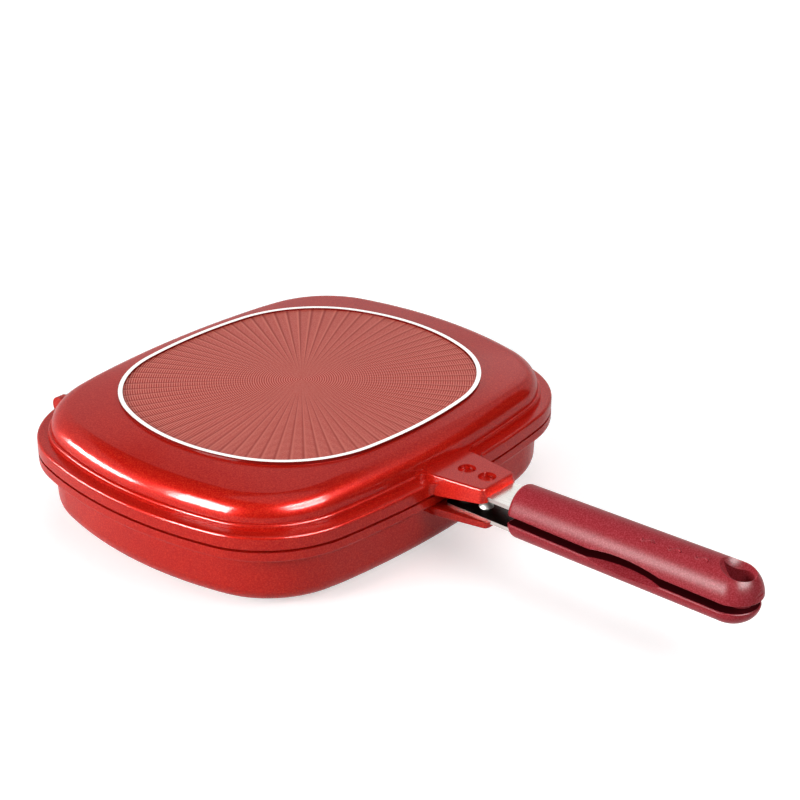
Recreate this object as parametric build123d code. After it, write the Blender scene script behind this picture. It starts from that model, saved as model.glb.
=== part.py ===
from build123d import *
from math import asin, atan2, cos, hypot, radians, sin, sqrt, tan
import os

# Double-sided frying pan, closed. Sizes are in millimetres.
# X runs along the handle, Y across the pan and Z up.
# The origin is the centre of the lower contact ring's face, on which the pan stands.
# Both pan halves are drawn with heights measured outwards from the mid plane between their rims.

# Depth of each pan half from the mid plane to its contact ring
upper_depth = 30.8
lower_depth = 47.0

# Outline of the rim flanges seen from above
flange_half_length = 125.0
flange_half_width = 153.0
flange_end_radius = 600.0
flange_side_radius = 266.0
flange_corner_radius = 67.7
rim_gap = 1.6
flange_fillet = 1.8
upper_flange_height = 9.0
lower_flange_height = 7.2

# Bead above the upper flange
bead_inset = 7.0
bead_height = 12.7
bead_fillet = 1.5

# Outer wall, rounded corner and shoulder of each shell
upper_wall_inset = 8.5
lower_wall_inset = 8.8
upper_wall_draft = 1.1
lower_wall_draft = 1.7
upper_shoulder_drop = 6.2
lower_shoulder_drop = 7.6
upper_corner_radius = 13.0
lower_corner_radius = 11.0

# Bright contact ring and the sunburst plate inside it. The upper ring sits a little towards the handle.
ring_end_inset = 30.0
ring_side_inset = 45.3
upper_ring_shift = 2.0
ring_end_radius = 291.0
ring_side_radius = 127.0
ring_corner_radius = 73.5
ring_width = 2.7
ring_thickness = 0.8
rim_wall_height = 2.0
plate_thickness = 1.2
plate_recess = 1.2

# Cooking cavity
cavity_inset = 14.0
cavity_draft = 1.6
cavity_corner_radius = 12.0
base_thickness = 4.0

# Silicone seal in the upper rim
seal_inset = 5.0
seal_width = 4.0
seal_groove_depth = 3.2
seal_running_gap = 0.3
seal_side_clearance = 0.1
seal_lip_width = 2.0
seal_lip_height = 0.7

# Cast lugs that carry the handle. Lengths and reaches along the handle start at the flange's edge.
lug_root_depth = 17.0
upper_lug_length = 32.5
lower_lug_length = 35.0
lug_face_height = 13.4
lug_flank_half_width = 18.7
lug_taper = 8.0
lug_draft = 12.0
lug_tip_radius = 3.0
lug_root_fillet = 6.0
lug_edge_fillet = 1.4
upper_skirt_root = 1.6
upper_skirt_tip = 5.4
lower_skirt_root = 7.2
lower_skirt_tip = 6.8
lower_lug_rise = 2.2
dimple_radius = 5.4
dimple_depth = 3.0

# Steel straps between lugs and grips
strap_half_width = 12.0
strap_thickness = 2.4
strap_level = 5.8
strap_start_gap = 2.0
strap_reach = 127.0
strap_clearance = 0.15
strap_corner_radius = 4.0

# Rivets that hold the straps to the lugs
rivet_reach = 8.8
rivet_spacing = 14.9
rivet_shank_depth = 4.2
rivet_head_radius = 4.4
rivet_head_height = 3.0
shank_radius = 2.0
shank_clearance = 0.05

# Handle grips
grip_front_reach = 49.0
upper_grip_reach = 205.8
lower_grip_reach = 204.4
grip_front_half_width = 14.9
grip_end_half_width = 15.6
grip_front_arch_level = 0.0
upper_grip_face = 3.2
lower_grip_face = 1.6
upper_grip_front_height = 17.4
upper_grip_end_height = 20.6
lower_grip_front_height = 15.4
lower_grip_end_height = 13.2
grip_edge_fillet = 1.0
grip_front_fillet = 3.0
tail_flat_start = 3.5
tail_flat_height = 5.5
tail_flat_width = 9.0
tail_flat_depth = 0.9

# Finger scoops on both edges of the grips
scoop_reach = 129.0
scoop_radius = 115.0
scoop_depth = 2.9
scoop_lean = 32.0

# Hanging hole with its round dish
hole_inset = 12.1
hole_radius = 6.4
hole_tip_length = 12.0
upper_hole_height = 18.2
lower_hole_height = 13.2
dish_radius = 11.0
dish_depth = 5.0

# Grip screws with a hexagon recess
grip_screw_reach = 107.0
grip_screw_depth = 11.0
screw_head_radius = 3.6
screw_head_height = 2.4
screw_head_room = 0.4
recess_radius = 1.3
recess_depth = 1.0

# Magnets and their covers
magnet_reach = 167.0
magnet_radius = 6.0
magnet_thickness = 3.0
magnet_cover_radius = 7.5
magnet_cover_thickness = 1.2
pocket_clearance = 0.1

# Hinge behind the pan
hinge_offset = 4.5
ear_radius = 6.2
ear_web_length = 14.0
lower_ear_outer_y = 85.0
lower_ear_thickness = 6.0
spacer_length = 5.7
spacer_radius = 5.6
bush_length = 4.6
bush_radius = 5.2
upper_ear_thickness = 8.0
pin_radius = 3.0
pin_clearance = 0.06
pin_engagement = 4.0
pin_head_radius = 4.6
pin_head_thickness = 2.0
hinge_side_gap = 0.3

# Drawing allowances: how far cutters run past a face, and how close counts as the same place
overrun = 1.0
same_place = 0.01

# Worked out from the sizes above
ring_half_length = flange_half_length - ring_end_inset
ring_half_width = flange_half_width - ring_side_inset
lug_flank_x = flange_half_length
lug_root_x = lug_flank_x - lug_root_depth
upper_lug_tip_x = lug_flank_x + upper_lug_length
lower_lug_tip_x = lug_flank_x + lower_lug_length
strap_end_x = lug_flank_x + strap_reach
rivet_near_x = lug_flank_x + rivet_reach
grip_front_x = lug_flank_x + grip_front_reach
upper_grip_end_x = lug_flank_x + upper_grip_reach
lower_grip_end_x = lug_flank_x + lower_grip_reach
scoop_x = lug_flank_x + scoop_reach
hole_x = upper_grip_end_x - hole_inset
grip_screw_x = lug_flank_x + grip_screw_reach
magnet_x = lug_flank_x + magnet_reach
hinge_x = -(flange_half_length + hinge_offset)
half_gap = rim_gap / 2
strap_top = strap_level + strap_thickness
plate_drop = plate_recess + plate_thickness
rivet_xs = [rivet_near_x, rivet_near_x + rivet_spacing]
lower_ear_inner_y = lower_ear_outer_y - lower_ear_thickness
spacer_outer_y = lower_ear_inner_y - hinge_side_gap
bush_outer_y = spacer_outer_y - spacer_length - hinge_side_gap
upper_ear_outer_y = bush_outer_y - bush_length - hinge_side_gap
upper_ear_inner_y = upper_ear_outer_y - upper_ear_thickness
pin_head_outer_y = upper_ear_inner_y - hinge_side_gap


def outline(half_length, half_width, end_radius, side_radius, corner, height):
    """Face of a rounded outline: four shallow side arcs and four corner arcs, all tangent."""
    end_centre = half_length - end_radius
    side_centre = half_width - side_radius
    end_reach = end_radius - corner
    side_reach = side_radius - corner
    span = hypot(end_centre, side_centre)
    along = (end_reach**2 - side_reach**2 + span**2) / (2 * span)
    across = sqrt(max(end_reach**2 - along**2, 0.0))
    ux, uy = -end_centre / span, side_centre / span
    centre_x = end_centre + along * ux - across * uy
    centre_y = along * uy + across * ux
    if centre_x + centre_y < 0:
        centre_x = end_centre + along * ux + across * uy
        centre_y = along * uy - across * ux
    first = atan2(centre_y, centre_x - end_centre)
    second = atan2(centre_y - side_centre, centre_x)
    middle = (first + second) / 2
    near = (centre_x + corner * cos(first), centre_y + corner * sin(first))
    bend = (centre_x + corner * cos(middle), centre_y + corner * sin(middle))
    far = (centre_x + corner * cos(second), centre_y + corner * sin(second))
    arcs = [ThreePointArc((near[0], -near[1]), (half_length, 0), near)]
    arcs.append(ThreePointArc(near, bend, far))
    arcs.append(ThreePointArc(far, (0, half_width), (-far[0], far[1])))
    arcs.append(ThreePointArc((-far[0], far[1]), (-bend[0], bend[1]), (-near[0], near[1])))
    arcs.append(ThreePointArc((-near[0], near[1]), (-half_length, 0), (-near[0], -near[1])))
    arcs.append(ThreePointArc((-near[0], -near[1]), (-bend[0], -bend[1]), (-far[0], -far[1])))
    arcs.append(ThreePointArc((-far[0], -far[1]), (0, -half_width), (far[0], -far[1])))
    arcs.append(ThreePointArc((far[0], -far[1]), (bend[0], -bend[1]), (near[0], -near[1])))
    return Pos(0, 0, height) * Face(Wire(arcs))


flange_sizes = (flange_half_length, flange_half_width, flange_end_radius, flange_side_radius, flange_corner_radius)
ring_sizes = (ring_half_length, ring_half_width, ring_end_radius, ring_side_radius, ring_corner_radius)


def inset(sizes, distance):
    """Sizes of the outline that runs inside another at a steady distance."""
    return tuple(size - distance for size in sizes)


def plate(sizes, low, high):
    """Flat plate of an outline between two heights."""
    return extrude(outline(*sizes, low), high - low)


def upper_place(shape):
    """Sets a half drawn outwards from the mid plane as the upper half."""
    return Pos(0, 0, lower_depth) * shape


def lower_place(shape):
    """Sets a half drawn outwards from the mid plane as the lower half."""
    return Pos(0, 0, lower_depth) * mirror(shape, about=Plane.XY)


def drafted_form(foot_inset, foot, edge_inset, edge, top_sizes, top, shift, radius):
    """Drafted wall and sloping shoulder that meet in one large rounded corner."""
    sections = [outline(*inset(flange_sizes, foot_inset), foot)]
    sections.append(outline(*inset(flange_sizes, edge_inset), edge))
    sections.append(Pos(shift, 0, 0) * outline(*top_sizes, top))
    form = loft(sections, ruled=True)
    corner = form.edges().filter_by(lambda e: abs(e.center().Z - edge) < same_place)
    return fillet(corner, radius)


def shell_body(depth, flange_height, wall_inset, draft, drop, shift, radius):
    """Outer form of one shell without its lug and ears: flange, wall, shoulder and rim wall."""
    flange = plate(flange_sizes, half_gap, flange_height)
    flange = fillet(flange.faces().sort_by(Axis.Z)[-1].edges(), flange_fillet)
    rim_sizes = inset(ring_sizes, -ring_width)
    shoulder = depth - rim_wall_height
    body = drafted_form(wall_inset, flange_height - flange_fillet, wall_inset + draft, depth - drop,
                        rim_sizes, shoulder, shift, radius)
    rim = Pos(shift, 0, 0) * plate(rim_sizes, shoulder - base_thickness / 2, depth - ring_thickness)
    return flange + body + rim


def cavity(depth):
    """Space in which the food cooks, open at the rim."""
    floor = depth - plate_drop - base_thickness
    sections = [outline(*inset(flange_sizes, cavity_inset), 0.0)]
    sections.append(outline(*inset(flange_sizes, cavity_inset + cavity_draft), floor))
    space = loft(sections, ruled=True)
    return fillet(space.faces().sort_by(Axis.Z)[-1].edges(), cavity_corner_radius)


def lug_half_width(level):
    """Half width of the lug at the flange's edge; its drafted flanks widen towards the mid plane."""
    return lug_flank_half_width + (lug_face_height - level) * tan(radians(lug_draft))


def lug_block(tip_x):
    """Straight lug with drafted flanks and tip, tapering towards its tip."""
    spread = lug_half_width(0.0) - lug_flank_half_width
    foot_x = tip_x + spread
    half = lug_half_width(0.0)
    tip_half = half - (foot_x - lug_flank_x) * sin(radians(lug_taper))
    points = [(lug_root_x, -half), (lug_flank_x, -half), (foot_x, -tip_half)]
    points += [(foot_x, tip_half), (lug_flank_x, half), (lug_root_x, half)]
    face = make_face(Polyline(*points, close=True))
    tips = face.vertices().filter_by(lambda v: abs(v.X - foot_x) < same_place)
    return extrude(fillet(tips, lug_tip_radius + spread), lug_face_height, taper=lug_draft)


def lug_root(level, edge_inset):
    """Web at the foot of the lug, up to a level, whose hollow corners flow into an edge of the shell."""
    half = lug_half_width(level)
    root_half = half + lug_root_fillet
    edge_x = flange_half_length - edge_inset - root_half**2 / (2 * (flange_end_radius - edge_inset))
    far_x = lug_flank_x + lug_root_fillet + overrun
    far_half = half - (far_x - lug_flank_x) * sin(radians(lug_taper))
    points = [(lug_root_x, -root_half - overrun), (edge_x, -root_half - overrun), (edge_x, -half)]
    points += [(far_x, -far_half), (far_x, far_half), (edge_x, half)]
    points += [(edge_x, root_half + overrun), (lug_root_x, root_half + overrun)]
    face = make_face(Polyline(*points, close=True))
    hollows = face.vertices().filter_by(lambda v: abs(v.X - edge_x) < same_place and abs(v.Y) < half + same_place)
    return extrude(fillet(hollows, lug_root_fillet), level)


def lug(tip_x, webs, skirt_root, skirt_tip, rise):
    """Cast lug with side skirts, webs at its foot, a bed for the strap and two blind dimples in its outer face."""
    end_x = tip_x + lug_half_width(0.0) - lug_flank_half_width + overrun
    side = [(lug_root_x, skirt_root), (lug_flank_x, skirt_root), (end_x, skirt_tip)]
    side += [(end_x, lug_face_height - rise), (lug_flank_x, lug_face_height), (lug_root_x, lug_face_height)]
    profile = Plane.XZ * make_face(Polyline(*side, close=True))
    width = 4 * (lug_flank_half_width + lug_root_fillet)
    envelope = Pos(0, width / 2, 0) * extrude(profile, width)
    block = lug_block(tip_x) & envelope
    lowest = lug_face_height - rise - same_place
    rims = block.edges().filter_by(lambda e: e.bounding_box().min.Z > lowest and e.center().X > lug_root_x + overrun)
    block = fillet(rims, lug_edge_fillet)
    for level, edge_inset in webs:
        block = block + (lug_root(level, edge_inset) & envelope)
    bed_start = flange_half_length + strap_start_gap - strap_clearance
    bed = Pos((bed_start + end_x) / 2, 0, strap_top / 2)
    block = block - bed * Box(end_x - bed_start, 2 * (strap_half_width + strap_clearance), strap_top)
    for x in rivet_xs:
        block = block - Pos(x, 0, lug_face_height - dimple_depth / 2) * Cylinder(dimple_radius, dimple_depth)
    return block


def rivet_bores():
    """Bores in the lug for the rivets."""
    radius = shank_radius + shank_clearance
    bores = [Pos(x, 0, strap_level + rivet_shank_depth / 2) * Cylinder(radius, rivet_shank_depth) for x in rivet_xs]
    return bores[0] + bores[1]


def ear(outer_y, thickness):
    """Round hinge ear with its web, on the near side."""
    knuckle = Pos(hinge_x, -outer_y + thickness / 2, 0) * Rot(90, 0, 0) * Cylinder(ear_radius, thickness)
    web_height = ear_radius - half_gap
    web = Pos(hinge_x + ear_web_length / 2, -outer_y + thickness / 2, half_gap + web_height / 2)
    web = web * Box(ear_web_length, thickness, web_height)
    return knuckle + web


def both_sides(shape):
    """Shape with its mirror image across the length of the pan."""
    return shape + mirror(shape, about=Plane.XZ)


def pin_bore(from_y, to_y):
    """Bore for the hinge pin, on the near side."""
    return Pos(hinge_x, -(from_y + to_y) / 2, 0) * Rot(90, 0, 0) * Cylinder(pin_radius + pin_clearance, to_y - from_y)


def upper_shell(hollows):
    """Upper pan: body, bead, lug and inner ears, with the seal groove and the shared hollows."""
    body = shell_body(upper_depth, upper_flange_height, upper_wall_inset, upper_wall_draft, upper_shoulder_drop,
                      upper_ring_shift, upper_corner_radius)
    bead = plate(inset(flange_sizes, bead_inset), upper_flange_height - flange_fillet, bead_height)
    bead = fillet(bead.faces().sort_by(Axis.Z)[-1].edges(), bead_fillet)
    webs = [(upper_flange_height, 0.0), (bead_height, bead_inset)]
    body = body + bead + lug(upper_lug_tip_x, webs, upper_skirt_root, upper_skirt_tip, 0.0)
    ears = ear(upper_ear_outer_y, upper_ear_thickness)
    ears = ears - pin_bore(upper_ear_inner_y - overrun, upper_ear_outer_y + overrun)
    body = body + both_sides(ears) - hollows
    groove = plate(inset(flange_sizes, seal_inset), half_gap, half_gap + seal_groove_depth)
    groove = groove - plate(inset(flange_sizes, seal_inset + seal_width), half_gap, half_gap + seal_groove_depth)
    return body - groove


def lower_shell(hollows):
    """Lower pan: body, lug and outer ears with blind pin bores, and the shared hollows."""
    body = shell_body(lower_depth, lower_flange_height, lower_wall_inset, lower_wall_draft, lower_shoulder_drop,
                      0.0, lower_corner_radius)
    webs = [(lower_flange_height, 0.0)]
    body = body + lug(lower_lug_tip_x, webs, lower_skirt_root, lower_skirt_tip, lower_lug_rise)
    ears = ear(lower_ear_outer_y, lower_ear_thickness)
    ears = ears - pin_bore(lower_ear_inner_y, lower_ear_inner_y + pin_engagement)
    return body + both_sides(ears) - hollows


def seal():
    """Silicone seal in the upper groove with a soft lip that faces the lower rim."""
    outer = seal_inset + seal_side_clearance
    inner = seal_inset + seal_width - seal_side_clearance
    foot = half_gap + seal_lip_height / 2
    band = plate(inset(flange_sizes, outer), foot, half_gap + seal_groove_depth)
    band = band - plate(inset(flange_sizes, inner), foot, half_gap + seal_groove_depth)
    middle = (outer + inner) / 2
    low = -half_gap + seal_running_gap
    lip = plate(inset(flange_sizes, middle - seal_lip_width / 2), low, foot)
    return band + (lip - plate(inset(flange_sizes, middle + seal_lip_width / 2), low, foot))


def contact_ring(depth):
    """Flat bright ring on the rim wall."""
    outer = plate(inset(ring_sizes, -ring_width), depth - ring_thickness, depth)
    return outer - plate(ring_sizes, depth - ring_thickness, depth)


def base_plate(depth):
    """Sunburst plate in the recess inside the rim wall."""
    return plate(inset(ring_sizes, pocket_clearance), depth - plate_drop, depth - plate_recess)


def plate_recess_space(depth):
    """Recess in the base for the sunburst plate, open outwards."""
    return plate(ring_sizes, depth - plate_drop, depth)


def strap():
    """Flat steel strap from the lug into the grip."""
    start = flange_half_length + strap_start_gap
    length = strap_end_x - start
    bar = Pos(start + length / 2, 0, strap_level + strap_thickness / 2)
    bar = bar * Box(length, 2 * strap_half_width, strap_thickness)
    bar = fillet(bar.edges().filter_by(Axis.Z), strap_corner_radius)
    for x in rivet_xs + [grip_screw_x]:
        bore = Pos(x, 0, strap_level + strap_thickness / 2)
        bar = bar - bore * Cylinder(shank_radius + shank_clearance, strap_thickness)
    return bar


def round_headed(radius, height, depth):
    """Round head under the strap and plain shank, turned about the Z axis, pointing away from the mid plane."""
    crown = (radius**2 + height**2) / (2 * height)
    crown_level = strap_level - height
    middle = asin(radius / crown) / 2
    bend = (crown * sin(middle), crown_level + crown * (1 - cos(middle)))
    top = strap_level + depth
    arc = ThreePointArc((0, crown_level), bend, (radius, strap_level))
    corners = [(radius, strap_level), (shank_radius, strap_level), (shank_radius, top), (0, top), (0, crown_level)]
    return revolve(Plane.XZ * make_face([arc, Polyline(*corners)]), Axis.Z)


def lug_rivets():
    """The two round-headed rivets that hold a strap to its lug."""
    rivet = round_headed(rivet_head_radius, rivet_head_height, rivet_shank_depth - shank_clearance)
    return [Pos(x, 0, 0) * rivet for x in rivet_xs]


def grip_section(x, half_width, face, height, arch_level):
    """Half-round grip section at a place along the handle, its arch widest at the arch level."""
    arch = Pos(0, arch_level) * Ellipse(half_width, height - arch_level)
    keep = Pos(0, face + height / 2) * Rectangle(4 * half_width, height)
    return Plane(origin=(x, 0, 0), x_dir=(0, 1, 0), z_dir=(1, 0, 0)) * (arch & keep)


def grip_tail(face, height, end_x):
    """Domed end of a grip, round seen from above."""
    arch = Pos(0, face) * Ellipse(grip_end_half_width, height - face)
    keep = Pos(grip_end_half_width / 2, face + height / 2) * Rectangle(grip_end_half_width, height)
    return Pos(end_x - grip_end_half_width, 0, 0) * revolve(Plane.XZ * (arch & keep), Axis.Z)


def grip_body(face, front_height, end_height, end_x):
    """One grip half: a tapering half-round bar with a rounded front and a domed tail."""
    front = grip_section(grip_front_x, grip_front_half_width, face, front_height, grip_front_arch_level)
    end = grip_section(end_x - grip_end_half_width, grip_end_half_width, face, end_height, face)
    bar = loft([front, end])
    nose = bar.edges().filter_by(lambda e: abs(e.center().X - grip_front_x) < same_place)
    nose = nose.filter_by(lambda e: e.center().Z > face + same_place)
    bar = fillet(nose, grip_front_fillet) + grip_tail(face, end_height, end_x)
    rims = bar.edges().filter_by(lambda e: abs(e.center().Z - face) < same_place)
    return fillet(rims, grip_edge_fillet)


def finger_scoops(face):
    """Long shallow cutters, one for each edge of a grip face, whose surfaces lean away from that face."""
    reach = scoop_radius - scoop_depth
    aside = (grip_front_half_width + grip_end_half_width) / 2 + reach * sin(radians(scoop_lean))
    under = reach * cos(radians(scoop_lean))
    cutter = Rot(90 - scoop_lean, 0, 0) * Cylinder(scoop_radius, 2 * grip_end_half_width)
    return both_sides(Pos(scoop_x, -aside, face - under) * cutter)


def hanging_hole(face, height):
    """Teardrop hole through a grip, its point towards the pan, with a round dish around its mouth."""
    tangent = asin(hole_radius / hole_tip_length)
    touch_x = hole_x - hole_radius * sin(tangent)
    touch_y = hole_radius * cos(tangent)
    tip = make_face(Polyline((hole_x - hole_tip_length, 0), (touch_x, -touch_y), (touch_x, touch_y), close=True))
    drop = tip + Pos(hole_x, 0) * Circle(hole_radius)
    crown = (dish_radius**2 + dish_depth**2) / (2 * dish_depth)
    bowl = Pos(hole_x, 0, height - dish_depth + crown) * Sphere(crown)
    return extrude(drop, 2 * height) + bowl


def grip(face, front_height, end_height, end_x, hole_height):
    """Moulded grip half with its strap slot, screw bore, magnet pocket, scoops and hanging hole."""
    bar = grip_body(face, front_height, end_height, end_x) - finger_scoops(face)
    bar = bar - hanging_hole(face, hole_height)
    length = strap_end_x + pocket_clearance - grip_front_x
    slot = Pos(grip_front_x + length / 2, 0, strap_level + strap_thickness / 2)
    bar = bar - slot * Box(length, 2 * (strap_half_width + pocket_clearance), strap_thickness)
    well = strap_level - face
    bar = bar - Pos(grip_screw_x, 0, face + well / 2) * Cylinder(screw_head_radius + screw_head_room, well)
    bore_radius = shank_radius + shank_clearance
    bar = bar - Pos(grip_screw_x, 0, strap_level + grip_screw_depth / 2) * Cylinder(bore_radius, grip_screw_depth)
    cover_radius = magnet_cover_radius + pocket_clearance
    bar = bar - Pos(magnet_x, 0, face + magnet_cover_thickness / 2) * Cylinder(cover_radius, magnet_cover_thickness)
    deep = face + magnet_cover_thickness + magnet_thickness / 2
    bar = bar - Pos(magnet_x, 0, deep) * Cylinder(magnet_radius + pocket_clearance, magnet_thickness)
    flat = Pos(end_x, 0, face + tail_flat_start + tail_flat_height / 2)
    return bar - flat * Box(2 * tail_flat_depth, tail_flat_width, tail_flat_height)


def grip_screw():
    """Screw with a hexagon recess from the grip's inner face through the strap into the grip."""
    body = round_headed(screw_head_radius, screw_head_height, grip_screw_depth - shank_clearance)
    recess = Pos(0, 0, strap_level - screw_head_height) * extrude(RegularPolygon(recess_radius, 6), recess_depth)
    return Pos(grip_screw_x, 0, 0) * (body - recess)


def magnet(face):
    """Round magnet in its pocket behind the cover."""
    level = face + magnet_cover_thickness + magnet_thickness / 2
    return Pos(magnet_x, 0, level) * Cylinder(magnet_radius, magnet_thickness)


def magnet_cover(face):
    """Round cover flush with the grip's inner face."""
    return Pos(magnet_x, 0, face + magnet_cover_thickness / 2) * Cylinder(magnet_cover_radius, magnet_cover_thickness)


def hinge_tube(outer_y, length, radius):
    """Tube around the hinge pin, on the near side."""
    tube = Pos(hinge_x, -outer_y + length / 2, 0) * Rot(90, 0, 0) * Cylinder(radius, length)
    return tube - pin_bore(outer_y - length, outer_y)


def hinge_pin():
    """Headed pin through the inner ear into the outer ear, on the near side."""
    start = pin_head_outer_y
    end = lower_ear_inner_y + pin_engagement - pin_clearance
    shank = Pos(hinge_x, -(start + end) / 2, 0) * Rot(90, 0, 0) * Cylinder(pin_radius, end - start)
    head = Pos(hinge_x, -start + pin_head_thickness / 2, 0) * Rot(90, 0, 0) * Cylinder(pin_head_radius, pin_head_thickness)
    return shank + head


def pair(shape):
    """A shape and its mirror image as two separate solids."""
    return Compound(children=[shape, mirror(shape, about=Plane.XZ)])


def all_pieces():
    """Every piece of the pan by name, in its place."""
    upper_recess = Pos(upper_ring_shift, 0, 0) * plate_recess_space(upper_depth)
    upper_hollows = cavity(upper_depth) + rivet_bores() + upper_recess
    lower_hollows = cavity(lower_depth) + rivet_bores() + plate_recess_space(lower_depth)
    pieces = {}
    pieces["upper_pan_shell"] = upper_place(upper_shell(upper_hollows))
    pieces["lower_pan_shell"] = lower_place(lower_shell(lower_hollows))
    pieces["upper_contact_ring"] = upper_place(Pos(upper_ring_shift, 0, 0) * contact_ring(upper_depth))
    pieces["lower_contact_ring"] = lower_place(contact_ring(lower_depth))
    pieces["upper_base_plate"] = upper_place(Pos(upper_ring_shift, 0, 0) * base_plate(upper_depth))
    pieces["lower_base_plate"] = lower_place(base_plate(lower_depth))
    pieces["rim_seal"] = upper_place(seal())
    pieces["upper_strap"] = upper_place(strap())
    pieces["lower_strap"] = lower_place(strap())
    pieces["upper_lug_rivets"] = Compound(children=[upper_place(rivet) for rivet in lug_rivets()])
    pieces["lower_lug_rivets"] = Compound(children=[lower_place(rivet) for rivet in lug_rivets()])
    pieces["upper_grip"] = upper_place(grip(upper_grip_face, upper_grip_front_height, upper_grip_end_height,
                                            upper_grip_end_x, upper_hole_height))
    pieces["lower_grip"] = lower_place(grip(lower_grip_face, lower_grip_front_height, lower_grip_end_height,
                                            lower_grip_end_x, lower_hole_height))
    pieces["upper_grip_screw"] = upper_place(grip_screw())
    pieces["lower_grip_screw"] = lower_place(grip_screw())
    pieces["upper_magnet"] = upper_place(magnet(upper_grip_face))
    pieces["lower_magnet"] = lower_place(magnet(lower_grip_face))
    pieces["upper_magnet_cover"] = upper_place(magnet_cover(upper_grip_face))
    pieces["lower_magnet_cover"] = lower_place(magnet_cover(lower_grip_face))
    pieces["hinge_pins"] = Pos(0, 0, lower_depth) * pair(hinge_pin())
    pieces["hinge_spacers"] = Pos(0, 0, lower_depth) * pair(hinge_tube(spacer_outer_y, spacer_length, spacer_radius))
    pieces["hinge_bushes"] = Pos(0, 0, lower_depth) * pair(hinge_tube(bush_outer_y, bush_length, bush_radius))
    return pieces


os.makedirs("parts", exist_ok=True)
for name, shape in all_pieces().items():
    export_step(shape, f"parts/{name}.step")
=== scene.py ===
import math

import bmesh
import bpy
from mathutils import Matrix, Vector


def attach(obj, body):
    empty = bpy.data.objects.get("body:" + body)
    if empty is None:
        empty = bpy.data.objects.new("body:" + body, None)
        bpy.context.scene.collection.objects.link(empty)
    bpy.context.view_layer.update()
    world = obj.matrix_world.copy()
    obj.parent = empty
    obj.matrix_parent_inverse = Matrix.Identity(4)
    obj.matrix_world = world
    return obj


# Double-sided frying pan, closed. Lengths are in metres, in the frame of the model:
# X runs along the handle, Y across the pan and Z up from the ring on which it stands.

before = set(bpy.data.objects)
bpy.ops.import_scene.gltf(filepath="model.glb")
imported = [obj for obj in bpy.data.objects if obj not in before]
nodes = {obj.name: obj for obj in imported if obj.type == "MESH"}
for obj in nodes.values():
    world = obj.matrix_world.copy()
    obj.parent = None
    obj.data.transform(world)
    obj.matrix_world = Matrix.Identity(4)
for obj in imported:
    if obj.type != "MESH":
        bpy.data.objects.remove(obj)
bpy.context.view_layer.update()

MM = 0.001

# Heights shared with the solids: where the halves meet, the top, and the floors of the two cooking spaces
MID_PLANE = 47.0 * MM
TOP = 77.8 * MM
UPPER_FLOOR = 71.4 * MM
LOWER_FLOOR = 6.4 * MM

# How far in from the top and the foot the walls beside the contact rings count as rim walls, which get painted
# shade
RIM_SHADE_DEPTH = 2.1 * MM

# Centre of the upper ring and of the disc inside it, along the handle
UPPER_DISC_X = 2.0 * MM

# Sunburst: thin rays and fine rings, which fade out towards the centre. Crests get painted highlight; ring
# valleys and a line beside each ray get painted shade.
RAYS = 80
RAY_SHARPNESS = 16.0
RAY_STRENGTH = 0.6
SHADE_LINE_TURN = 0.42
RING_PITCH = 1.46 * MM
RING_RELIEF = 0.4
FADE_START = 4.0 * MM
FADE_END = 40.0 * MM

# Grain sizes of the finishes. The flakes in the enamel are drawn coarser than real flakes, so that they show.
ENAMEL_GRAIN = 0.9 * MM
FLAKE_GRAIN = 1.1 * MM
METAL_GRAIN = 0.5 * MM
BAKELITE_GRAIN = 0.8 * MM

# Wave marks on the upper grip: thread radius, depth of its centre in the grip, and the line along and across it
WAVE_RADIUS = 0.75 * MM
WAVE_DEPTH = 0.05 * MM
WAVE_LINE = [(-4.0, 0.2), (-2.9, -0.9), (-1.4, -0.7), (0.0, 0.2), (1.4, 1.1), (2.9, 0.9), (4.0, -0.4)]
WAVE_PLACES = [(263.8, -6.8), (280.6, -6.3), (297.2, -5.7)]

# Distance of the lamps from the pan, and the middle of the pan and its handle
LAMP_DISTANCE = 1.3
MIDDLE_X = 50.0 * MM

# Outline of the cooking surfaces: centres of the arcs of its ends, sides and corners, and how far they reach
END_CENTRE = 475.0 * MM
END_REACH = 587.0 * MM
SIDE_CENTRE = 113.0 * MM
SIDE_REACH = 253.0 * MM
CORNER_X = 51.5 * MM
CORNER_Y = 78.5 * MM
CORNER_REACH = 54.7 * MM


# Materials

def linear(code):
    """Linear colour of an sRGB hex code such as B5161B."""
    channels = [int(code[i:i + 2], 16) / 255 for i in (0, 2, 4)]
    return [c / 12.92 if c <= 0.04045 else ((c + 0.055) / 1.055) ** 2.4 for c in channels] + [1.0]


def add(tree, kind, inputs=None, **settings):
    """Adds a node, sets its settings, and fills its inputs with values or links."""
    node = tree.nodes.new(kind)
    for name, value in settings.items():
        setattr(node, name, value)
    for name, value in (inputs or {}).items():
        if isinstance(value, bpy.types.NodeSocket):
            tree.links.new(value, node.inputs[name])
        else:
            node.inputs[name].default_value = value
    return node


def new_material(name):
    """Empty material, its node tree and its object coordinates."""
    material = bpy.data.materials.new(name)
    material.use_nodes = True
    tree = material.node_tree
    tree.nodes.clear()
    place = add(tree, "ShaderNodeTexCoord").outputs["Object"]
    return material, tree, place


def finish_material(tree, shader):
    """Sends a shader to the material's surface."""
    add(tree, "ShaderNodeOutputMaterial", {"Surface": shader.outputs[0]})


def speckle(tree, place, size, low, high):
    """Grain of a real size in metres, from 0 to 1 between two noise levels."""
    noise = add(tree, "ShaderNodeTexNoise", {"Vector": place, "Scale": 1 / size, "Detail": 2.0,
                                             "Roughness": 0.6})
    level = add(tree, "ShaderNodeMapRange", {"Value": noise.outputs["Fac"], "From Min": low, "From Max": high})
    return level.outputs["Result"]


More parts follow.
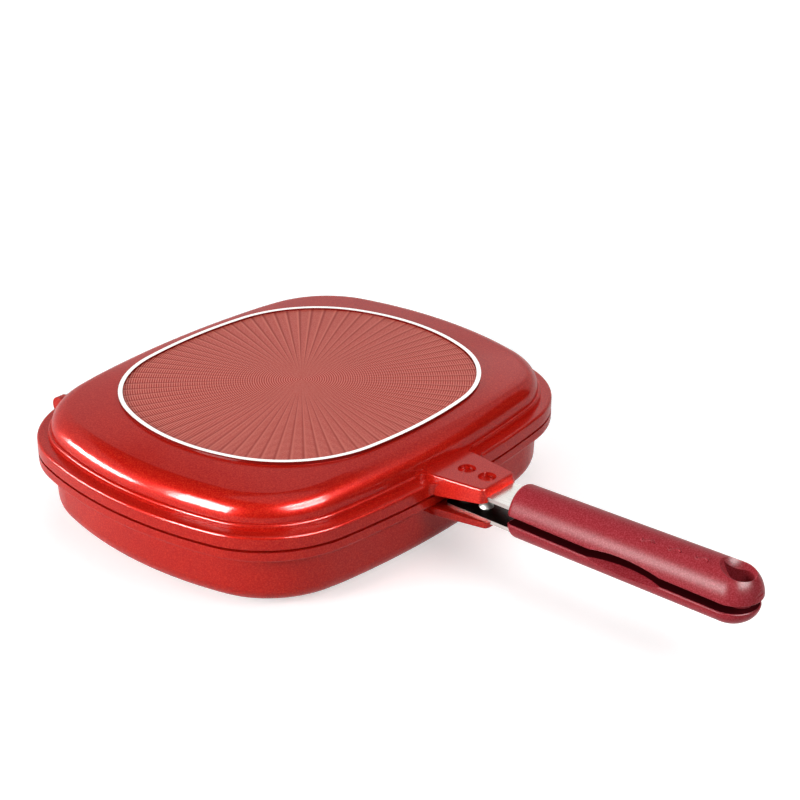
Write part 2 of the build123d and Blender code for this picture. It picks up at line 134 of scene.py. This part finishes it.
def blend_colour(tree, share, first, second):
    """Colour between two colours or colour sockets."""
    mix = add(tree, "ShaderNodeMix", data_type="RGBA")
    for index, value in ((0, share), (6, first), (7, second)):
        if isinstance(value, bpy.types.NodeSocket):
            tree.links.new(value, mix.inputs[index])
        else:
            mix.inputs[index].default_value = value
    return mix.outputs[2]


def mix_shaders(tree, share, first, second):
    """Shader that goes from the first to the second."""
    return add(tree, "ShaderNodeMixShader", {0: share, 1: first.outputs[0], 2: second.outputs[0]})


def calculate(tree, operation, first, second=0.0, clamp=False):
    """One operation on two numbers or sockets."""
    return add(tree, "ShaderNodeMath", {0: first, 1: second}, operation=operation, use_clamp=clamp).outputs[0]


def distance(tree, first, second):
    """Length of a flat diagonal."""
    squares = [calculate(tree, "MULTIPLY", side, side) for side in (first, second)]
    return calculate(tree, "SQRT", calculate(tree, "ADD", squares[0], squares[1]))


def split(tree, vector):
    """X, Y and Z of a vector."""
    return add(tree, "ShaderNodeSeparateXYZ", {"Vector": vector}).outputs


def facing(tree):
    """Direction a surface faces, in the frame of the model."""
    normal = add(tree, "ShaderNodeNewGeometry").outputs["Normal"]
    return add(tree, "ShaderNodeVectorTransform", {"Vector": normal}, vector_type="NORMAL",
               convert_from="WORLD", convert_to="OBJECT").outputs[0]


def rim_shade_mask(tree, place):
    """1 on the short upright walls beside the contact rings, where painted shade goes, 0 elsewhere."""
    outwards = calculate(tree, "ABSOLUTE", calculate(tree, "SUBTRACT", split(tree, place)[2], TOP / 2))
    level = calculate(tree, "ABSOLUTE", split(tree, facing(tree))[2])
    return calculate(tree, "MULTIPLY", calculate(tree, "GREATER_THAN", outwards, TOP / 2 - RIM_SHADE_DEPTH),
                     calculate(tree, "LESS_THAN", level, 0.5))


def inside_mask(tree, place):
    """1 on the cooking surfaces, 0 on the outside of the shells."""
    x, y, z = split(tree, place)
    side_x = calculate(tree, "ABSOLUTE", x)
    side_y = calculate(tree, "ABSOLUTE", y)
    end = distance(tree, calculate(tree, "ADD", side_x, END_CENTRE), y)
    side = distance(tree, calculate(tree, "ADD", side_y, SIDE_CENTRE), x)
    corner_x = calculate(tree, "MAXIMUM", calculate(tree, "SUBTRACT", side_x, CORNER_X), 0.0)
    corner_y = calculate(tree, "MAXIMUM", calculate(tree, "SUBTRACT", side_y, CORNER_Y), 0.0)
    corner = distance(tree, corner_x, corner_y)
    past_corner = calculate(tree, "MULTIPLY", calculate(tree, "GREATER_THAN", corner_x, 0.0),
                            calculate(tree, "GREATER_THAN", corner_y, 0.0))
    past_corner = calculate(tree, "MULTIPLY", past_corner,
                            calculate(tree, "GREATER_THAN", corner, CORNER_REACH))
    along, across, _ = split(tree, facing(tree))
    outwards = calculate(tree, "ADD", calculate(tree, "MULTIPLY", along, x),
                         calculate(tree, "MULTIPLY", across, y))
    mask = calculate(tree, "MULTIPLY", calculate(tree, "LESS_THAN", end, END_REACH),
                     calculate(tree, "LESS_THAN", side, SIDE_REACH))
    mask = calculate(tree, "MULTIPLY", mask, calculate(tree, "SUBTRACT", 1.0, past_corner))
    mask = calculate(tree, "MULTIPLY", mask, calculate(tree, "GREATER_THAN", z, LOWER_FLOOR - MM))
    mask = calculate(tree, "MULTIPLY", mask, calculate(tree, "LESS_THAN", z, UPPER_FLOOR + MM))
    return calculate(tree, "MULTIPLY", mask, calculate(tree, "LESS_THAN", outwards, 0.02))


def flake_grain(tree, place):
    """Tilt of the aluminium flakes in the paint."""
    flakes = add(tree, "ShaderNodeTexNoise", {"Vector": place, "Scale": 1 / FLAKE_GRAIN, "Detail": 3.0,
                                              "Roughness": 0.7})
    return add(tree, "ShaderNodeBump", {"Height": flakes.outputs["Fac"], "Strength": 0.35,
                                        "Distance": 0.12 * MM})


def painted_shade_enamel(tree):
    """Enamel in a dull deeper red: painted shade for the walls that lie in the shade of the rings."""
    return add(tree, "ShaderNodeBsdfPrincipled", {"Base Color": linear("72120E"), "Roughness": 0.4,
                                                  "Specular IOR Level": 0.0})


def sparkle_enamel():
    """Stoved aluminium-flake enamel, deep red under a clear coat outside, and stone-dark non-stick inside."""
    material, tree, place = new_material("stoved_sparkle_enamel_with_non_stick")
    grain = speckle(tree, place, ENAMEL_GRAIN, 0.40, 0.75)
    red = blend_colour(tree, grain, linear("A20E08"), linear("C42E1C"))
    cloud = calculate(tree, "MULTIPLY", speckle(tree, place, 60.0 * MM, 0.35, 0.65), 0.2)
    red = blend_colour(tree, cloud, red, linear("960A08"))
    # The upright walls beside the contact rings are painted a darker red: painted shade.
    red = blend_colour(tree, rim_shade_mask(tree, place), red, linear("72120E"))
    tilt = flake_grain(tree, place)
    paint = add(tree, "ShaderNodeBsdfPrincipled", {"Base Color": red, "Metallic": 0.1, "Roughness": 0.4,
                                                   "Specular IOR Level": 0.0, "Coat Weight": 0.42,
                                                   "Coat Roughness": 0.15, "Coat IOR": 1.45,
                                                   "Normal": tilt.outputs["Normal"]})
    fleck = speckle(tree, place, 1.4 * MM, 0.62, 0.70)
    dark = blend_colour(tree, fleck, linear("232225"), linear("8A8788"))
    coating = add(tree, "ShaderNodeBsdfPrincipled", {"Base Color": dark, "Roughness": 0.5,
                                                     "Specular IOR Level": 0.12,
                                                     "Normal": tilt.outputs["Normal"]})
    finish_material(tree, mix_shaders(tree, inside_mask(tree, place), paint, coating))
    return material


def thin_ray(tree, turn):
    """1 along the middle of each ray, falling off sharply beside it."""
    wave = calculate(tree, "ABSOLUTE", calculate(tree, "COSINE", turn))
    return calculate(tree, "POWER", wave, RAY_SHARPNESS)


def sunburst_enamel():
    """The same enamel on a disc pressed with rays and rings; crests are painted lighter as painted highlight,
    and grooves darker as painted shade.
    """
    material, tree, place = new_material("stoved_enamel_on_sunburst_disc")
    x, y, z = split(tree, place)
    upper_shift = calculate(tree, "MULTIPLY", calculate(tree, "GREATER_THAN", z, MID_PLANE), UPPER_DISC_X)
    x = calculate(tree, "SUBTRACT", x, upper_shift)
    turn = calculate(tree, "MULTIPLY", calculate(tree, "ARCTAN2", y, x), RAYS / 2)
    crest = thin_ray(tree, turn)
    groove_shade_line = thin_ray(tree, calculate(tree, "ADD", turn, SHADE_LINE_TURN))
    length = distance(tree, x, y)
    ring = calculate(tree, "SINE", calculate(tree, "MULTIPLY", length, 2 * math.pi / RING_PITCH))
    ring = calculate(tree, "MULTIPLY", calculate(tree, "ADD", ring, 1.0), 0.5)
    open_out = add(tree, "ShaderNodeMapRange", {"Value": length, "From Min": FADE_START,
                                                "From Max": FADE_END}).outputs["Result"]
    ray_share = calculate(tree, "MULTIPLY", open_out, RAY_STRENGTH)
    grain = speckle(tree, place, ENAMEL_GRAIN, 0.35, 0.75)
    # Ring crests are painted lighter as painted highlight, ring valleys darker as painted shade.
    ring_highlight_colour = blend_colour(tree, grain, linear("D0695B"), linear("DE8577"))
    ring_shade_colour = blend_colour(tree, grain, linear("901712"), linear("A42A22"))
    red = blend_colour(tree, ring, ring_shade_colour, ring_highlight_colour)
    # Each ray's crest gets a painted highlight, and the line beside it painted shade.
    red = blend_colour(tree, calculate(tree, "MULTIPLY", crest, ray_share), red, linear("D87868"))
    red = blend_colour(tree, calculate(tree, "MULTIPLY", groove_shade_line, ray_share), red, linear("7E0E0C"))
    height = calculate(tree, "ADD", calculate(tree, "MULTIPLY", crest, open_out),
                       calculate(tree, "MULTIPLY", ring, RING_RELIEF))
    bump = add(tree, "ShaderNodeBump", {"Height": height, "Strength": 0.8, "Distance": 0.2 * MM})
    paint = add(tree, "ShaderNodeBsdfPrincipled", {"Base Color": red, "Metallic": 0.1, "Roughness": 0.4,
                                                   "Specular IOR Level": 0.0, "Coat Weight": 0.2,
                                                   "Coat Roughness": 0.22, "Coat IOR": 1.45,
                                                   "Normal": bump.outputs["Normal"]})
    finish_material(tree, paint)
    return material


def polished_aluminium():
    """Face-turned aluminium, polished: near white with faint tool marks; its upright walls enamelled, in a
    darker red that is painted shade.
    """
    material, tree, place = new_material("turned_polished_aluminium")
    marks = speckle(tree, place, METAL_GRAIN, 0.3, 0.7)
    tone = blend_colour(tree, marks, linear("D2D0CC"), linear("E4E2DE"))
    metal = add(tree, "ShaderNodeBsdfPrincipled", {"Base Color": tone, "Metallic": 1.0, "Roughness": 0.2})
    # Upright walls get the darker enamel: enamel, darkened as painted shade.
    finish_material(tree, mix_shaders(tree, rim_shade_mask(tree, place), metal, painted_shade_enamel(tree)))
    return material


def inner_face(tree, place, least):
    """1 where a surface faces the other half of the handle at least this squarely, 0 elsewhere."""
    up = split(tree, facing(tree))[2]
    level = calculate(tree, "SUBTRACT", split(tree, place)[2], MID_PLANE)
    glow_dimmed_near_pan = calculate(tree, "MULTIPLY", up, calculate(tree, "SIGN", level))
    return calculate(tree, "LESS_THAN", glow_dimmed_near_pan, -least)


def rolled_strip():
    """Stainless strip, rolled: bright with fine lengthwise marks, and painted near black on faces towards the
    other half, as painted shade.
    """
    material, tree, place = new_material("rolled_stainless_strip")
    drawn = add(tree, "ShaderNodeMapping", {"Vector": place, "Scale": (0.06, 1.0, 1.0)})
    marks = add(tree, "ShaderNodeTexNoise", {"Vector": drawn.outputs[0], "Scale": 1 / METAL_GRAIN,
                                             "Detail": 3.0})
    bright = blend_colour(tree, marks.outputs["Fac"], linear("B0ADA8"), linear("CDCAC6"))
    painted_shade_black = blend_colour(tree, marks.outputs["Fac"], linear("141211"), linear("3A3430"))
    # Faces towards the other half are painted near black: painted shade.
    tone = blend_colour(tree, inner_face(tree, place, 0.5), bright, painted_shade_black)
    bump = add(tree, "ShaderNodeBump", {"Height": marks.outputs["Fac"], "Strength": 0.08,
                                        "Distance": 0.02 * MM})
    metal = add(tree, "ShaderNodeBsdfPrincipled", {"Base Color": tone, "Metallic": 1.0, "Roughness": 0.25,
                                                   "Normal": bump.outputs["Normal"]})
    finish_material(tree, metal)
    return material


def turned_steel_finish():
    """Stainless heads and pins, turned and tumbled: soft grey shine without lines."""
    material, tree, place = new_material("turned_stainless")
    tone = blend_colour(tree, speckle(tree, place, METAL_GRAIN, 0.3, 0.7), linear("A6A4A0"), linear("BAB8B4"))
    metal = add(tree, "ShaderNodeBsdfPrincipled", {"Base Color": tone, "Metallic": 1.0, "Roughness": 0.5})
    finish_material(tree, metal)
    return material


def moulded(name, dark, light, grain_size, roughness, depth):
    """Moulded plastic with a fine grain in its colour and its surface."""
    material, tree, place = new_material(name)
    grain = speckle(tree, place, grain_size, 0.4, 0.72)
    tone = blend_colour(tree, grain, linear(dark), linear(light))
    texture = add(tree, "ShaderNodeTexNoise", {"Vector": place, "Scale": 1 / grain_size, "Detail": 2.0})
    bump = add(tree, "ShaderNodeBump", {"Height": texture.outputs["Fac"], "Strength": 0.25, "Distance": depth})
    plastic = add(tree, "ShaderNodeBsdfPrincipled", {"Base Color": tone, "Roughness": roughness,
                                                     "Normal": bump.outputs["Normal"]})
    finish_material(tree, plastic)
    return material


def wine_bakelite():
    """Moulded bakelite, wine red: a fine grain that glistens, and the faces where the halves meet painted dull
    and dark as painted shade.
    """
    material, tree, place = new_material("moulded_wine_red_bakelite")
    grain = speckle(tree, place, BAKELITE_GRAIN, 0.4, 0.72)
    tone = blend_colour(tree, grain, linear("8E1F27"), linear("B03E48"))
    texture = add(tree, "ShaderNodeTexNoise", {"Vector": place, "Scale": 1 / BAKELITE_GRAIN, "Detail": 2.0})
    bump = add(tree, "ShaderNodeBump", {"Height": texture.outputs["Fac"], "Strength": 0.25,
                                        "Distance": 0.06 * MM})
    plastic = add(tree, "ShaderNodeBsdfPrincipled", {"Base Color": tone, "Roughness": 0.35,
                                                     "Specular IOR Level": 0.07,
                                                     "Normal": bump.outputs["Normal"]})
    # Faces where the halves meet are painted dark: painted shade.
    painted_shade_dull = add(tree, "ShaderNodeBsdfPrincipled", {"Base Color": linear("480C12"), "Roughness": 0.8,
                                                  "Specular IOR Level": 0.0})
    finish_material(tree, mix_shaders(tree, inner_face(tree, place, 0.95), plastic, painted_shade_dull))
    return material


enamel = sparkle_enamel()
sunburst = sunburst_enamel()
aluminium = polished_aluminium()
strap_steel = rolled_strip()
turned_steel = turned_steel_finish()
bakelite = wine_bakelite()
silicone = moulded("moulded_dark_silicone", "1E0606", "2A0A0A", 1.0 * MM, 0.55, 0.02 * MM)
nylon = moulded("moulded_black_nylon", "0C0C0D", "1A1A1C", 0.7 * MM, 0.5, 0.03 * MM)
ferrite = moulded("pressed_ferrite", "1C1C1E", "2C2C2F", 0.5 * MM, 0.6, 0.03 * MM)

finishes = {
    "upper_pan_shell": enamel, "lower_pan_shell": enamel,
    "upper_base_plate": sunburst, "lower_base_plate": sunburst,
    "upper_contact_ring": aluminium, "lower_contact_ring": aluminium,
    "rim_seal": silicone,
    "upper_strap": strap_steel, "lower_strap": strap_steel,
    "upper_lug_rivets": turned_steel, "lower_lug_rivets": turned_steel,
    "upper_grip_screw": turned_steel, "lower_grip_screw": turned_steel,
    "hinge_pins": turned_steel, "hinge_spacers": turned_steel,
    "hinge_bushes": nylon,
    "upper_grip": bakelite, "lower_grip": bakelite,
    "upper_magnet": ferrite, "lower_magnet": ferrite,
    "upper_magnet_cover": nylon, "lower_magnet_cover": nylon,
}
for name, material in finishes.items():
    nodes[name].data.materials.clear()
    nodes[name].data.materials.append(material)


# Wave marks on the upper grip

def grip_surface(x, y):
    """Height of the upper grip's arch at a place, found from straight above."""
    return nodes["upper_grip"].ray_cast(Vector((x, y, 2 * TOP)), Vector((0, 0, -1)))[1].z


def wave_mark(name, x, y):
    """Low moulded wave: a round thread sunk halfway into the grip."""
    thread = bpy.data.curves.new(name, "CURVE")
    thread.dimensions = "3D"
    thread.bevel_depth = WAVE_RADIUS
    thread.bevel_resolution = 4
    thread.use_fill_caps = True
    line = thread.splines.new("NURBS")
    line.points.add(len(WAVE_LINE) - 1)
    for point, (along, across) in zip(line.points, WAVE_LINE):
        px, py = x + along * MM, y + across * MM
        point.co = (px, py, grip_surface(px, py) - WAVE_DEPTH, 1.0)
    line.order_u = 3
    line.use_endpoint_u = True
    piece = bpy.data.objects.new(name, thread)
    piece.data.materials.append(bakelite)
    bpy.context.scene.collection.objects.link(piece)
    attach(piece, "upper_pan")


for number, (x, y) in enumerate(WAVE_PLACES, 1):
    wave_mark(f"grip_wave_{number}", x * MM, y * MM)


# Room: pale floor and white surroundings, dark cloth overhead, in front and to the right, and soft lamps,
# some of which give only gloss or only colour

def paint_floor():
    """Matt pale floor that looks white away from the pan, and keeps the pan's shadow; its glow is dimmer near
    the pan, a painted shade around it.
    """
    material, tree, place = new_material("pale_studio_floor")
    cloud = speckle(tree, place, 40.0 * MM, 0.3, 0.7)
    tone = blend_colour(tree, cloud, linear("DCDCDC"), linear("E2E2E2"))
    matt = add(tree, "ShaderNodeBsdfDiffuse", {"Color": tone})
    x, y, _ = split(tree, place)
    # The glow is weaker near the pan, which paints a shade around it.
    glow_dimmed_near_pan = add(tree, "ShaderNodeMapRange", {"Value": distance(tree, x, y), "From Min": 0.25, "From Max": 1.5,
                                            "To Min": 0.55, "To Max": 1.0}).outputs["Result"]
    strength = calculate(tree, "MULTIPLY", glow_dimmed_near_pan, seen_directly(tree, 0.0, 1.0))
    glow = add(tree, "ShaderNodeEmission", {"Color": (1, 1, 1, 1), "Strength": strength})
    finish_material(tree, add(tree, "ShaderNodeAddShader", {0: matt.outputs[0], 1: glow.outputs[0]}))
    return material


def seen_directly(tree, hidden, shown):
    """One level for the light that falls on the pan, another for what the camera and reflections see."""
    rays = add(tree, "ShaderNodeLightPath").outputs
    direct = calculate(tree, "ADD", rays["Is Camera Ray"], rays["Is Glossy Ray"])
    direct = calculate(tree, "ADD", direct, rays["Is Transmission Ray"], clamp=True)
    level = add(tree, "ShaderNodeMapRange", {"Value": direct, "To Min": hidden, "To Max": shown})
    return level.outputs["Result"]


def stage_sheet(name, material, width, depth, centre=(0, 0, 0), turn=(0, 0, 0)):
    """Flat sheet that belongs to the room."""
    shape = bmesh.new()
    bmesh.ops.create_grid(shape, x_segments=1, y_segments=1, size=0.5)
    bmesh.ops.scale(shape, vec=(width, depth, 1.0), verts=shape.verts)
    mesh = bpy.data.meshes.new(name)
    shape.to_mesh(mesh)
    shape.free()
    sheet = bpy.data.objects.new(name, mesh)
    sheet.data.materials.append(material)
    sheet.location = centre
    sheet.rotation_euler = [math.radians(angle) for angle in turn]
    bpy.context.scene.collection.objects.link(sheet)
    return sheet


def curtain_cloth():
    """Woven dark cloth: dull and unevenly shaded."""
    material, tree, place = new_material("dark_studio_cloth")
    tone = blend_colour(tree, speckle(tree, place, 120.0 * MM, 0.3, 0.7), linear("2A2A2C"), linear("3A3A3C"))
    finish_material(tree, add(tree, "ShaderNodeBsdfDiffuse", {"Color": tone}))
    return material


stage_sheet("floor", paint_floor(), 8.0, 8.0)
cloth = curtain_cloth()
curtains = [stage_sheet("front_curtain", cloth, 4.1, 1.5, (0.15, -2.2, 0.76), (90, 0, 0))]
curtains.append(stage_sheet("right_curtain", cloth, 4.4, 1.5, (2.2, 0.0, 0.76), (90, 0, 90)))
curtains.append(stage_sheet("back_right_curtain", cloth, 1.6, 1.5, (1.4, 2.2, 0.76), (90, 0, 0)))
curtains.append(stage_sheet("dark_ceiling", cloth, 4.1, 3.2, (0.15, -0.6, 1.52)))
for curtain in curtains:
    curtain.visible_camera = False

world = bpy.data.worlds.new("white_studio")
bpy.context.scene.world = world
world.use_nodes = True
sky = world.node_tree
sky.nodes.clear()
backdrop = add(sky, "ShaderNodeBackground", {"Color": (1, 1, 1, 1), "Strength": seen_directly(sky, 0.5, 1.0)})
add(sky, "ShaderNodeOutputWorld", {"Surface": backdrop.outputs[0]})


def softbox(name, azimuth, elevation, width, height, power, lights="everything"):
    """Rectangular lamp at a bearing and height in degrees, facing the pan, for colour, gloss or everything."""
    turn, rise = math.radians(azimuth), math.radians(elevation)
    aim = Vector((MIDDLE_X, 0.0, MID_PLANE))
    bearing = Vector((math.cos(turn) * math.cos(rise), math.sin(turn) * math.cos(rise), math.sin(rise)))
    place = aim + LAMP_DISTANCE * bearing
    lamp = bpy.data.lights.new(name, "AREA")
    lamp.shape = "RECTANGLE"
    lamp.size, lamp.size_y = width, height
    lamp.energy = power
    holder = bpy.data.objects.new(name, lamp)
    holder.location = place
    holder.rotation_euler = (aim - place).to_track_quat("-Z", "Y").to_euler()
    holder.visible_glossy = lights != "colour"
    holder.visible_diffuse = lights != "gloss"
    bpy.context.scene.collection.objects.link(holder)


softbox("left_softbox", -103, 18, 0.55, 0.5, 15)
softbox("right_softbox", -7, 38, 0.9, 0.36, 6)
softbox("left_shine", -103, 19, 0.55, 0.62, 78, lights="gloss")
softbox("right_shine", -7, 38, 0.9, 0.5, 150, lights="gloss")
softbox("left_floor_shine", -140, 5, 0.6, 0.2, 32, lights="gloss")
softbox("back_shine", 123, 31, 1.1, 0.6, 1.4, lights="gloss")
softbox("top_shine", 0, 89.9, 1.0, 1.0, 4, lights="gloss")
softbox("top_fill", 120, 75, 1.2, 1.2, 6.5, lights="colour")


# Camera at the photograph's viewing angle

eye = bpy.data.cameras.new("camera")
eye.sensor_width = 36.0
eye.lens = 85.27
eye.shift_x = 0.0046
eye.shift_y = 0.0202
viewer = bpy.data.objects.new("camera", eye)
bpy.context.scene.collection.objects.link(viewer)
aim = Vector((81.3 * MM, -2.0 * MM, TOP))
viewer.location = (0.74073, -0.75623, 0.57288)
viewer.rotation_euler = (aim - viewer.location).to_track_quat("-Z", "Y").to_euler()
bpy.context.scene.camera = viewer
bpy.context.scene.view_settings.view_transform = "Standard"
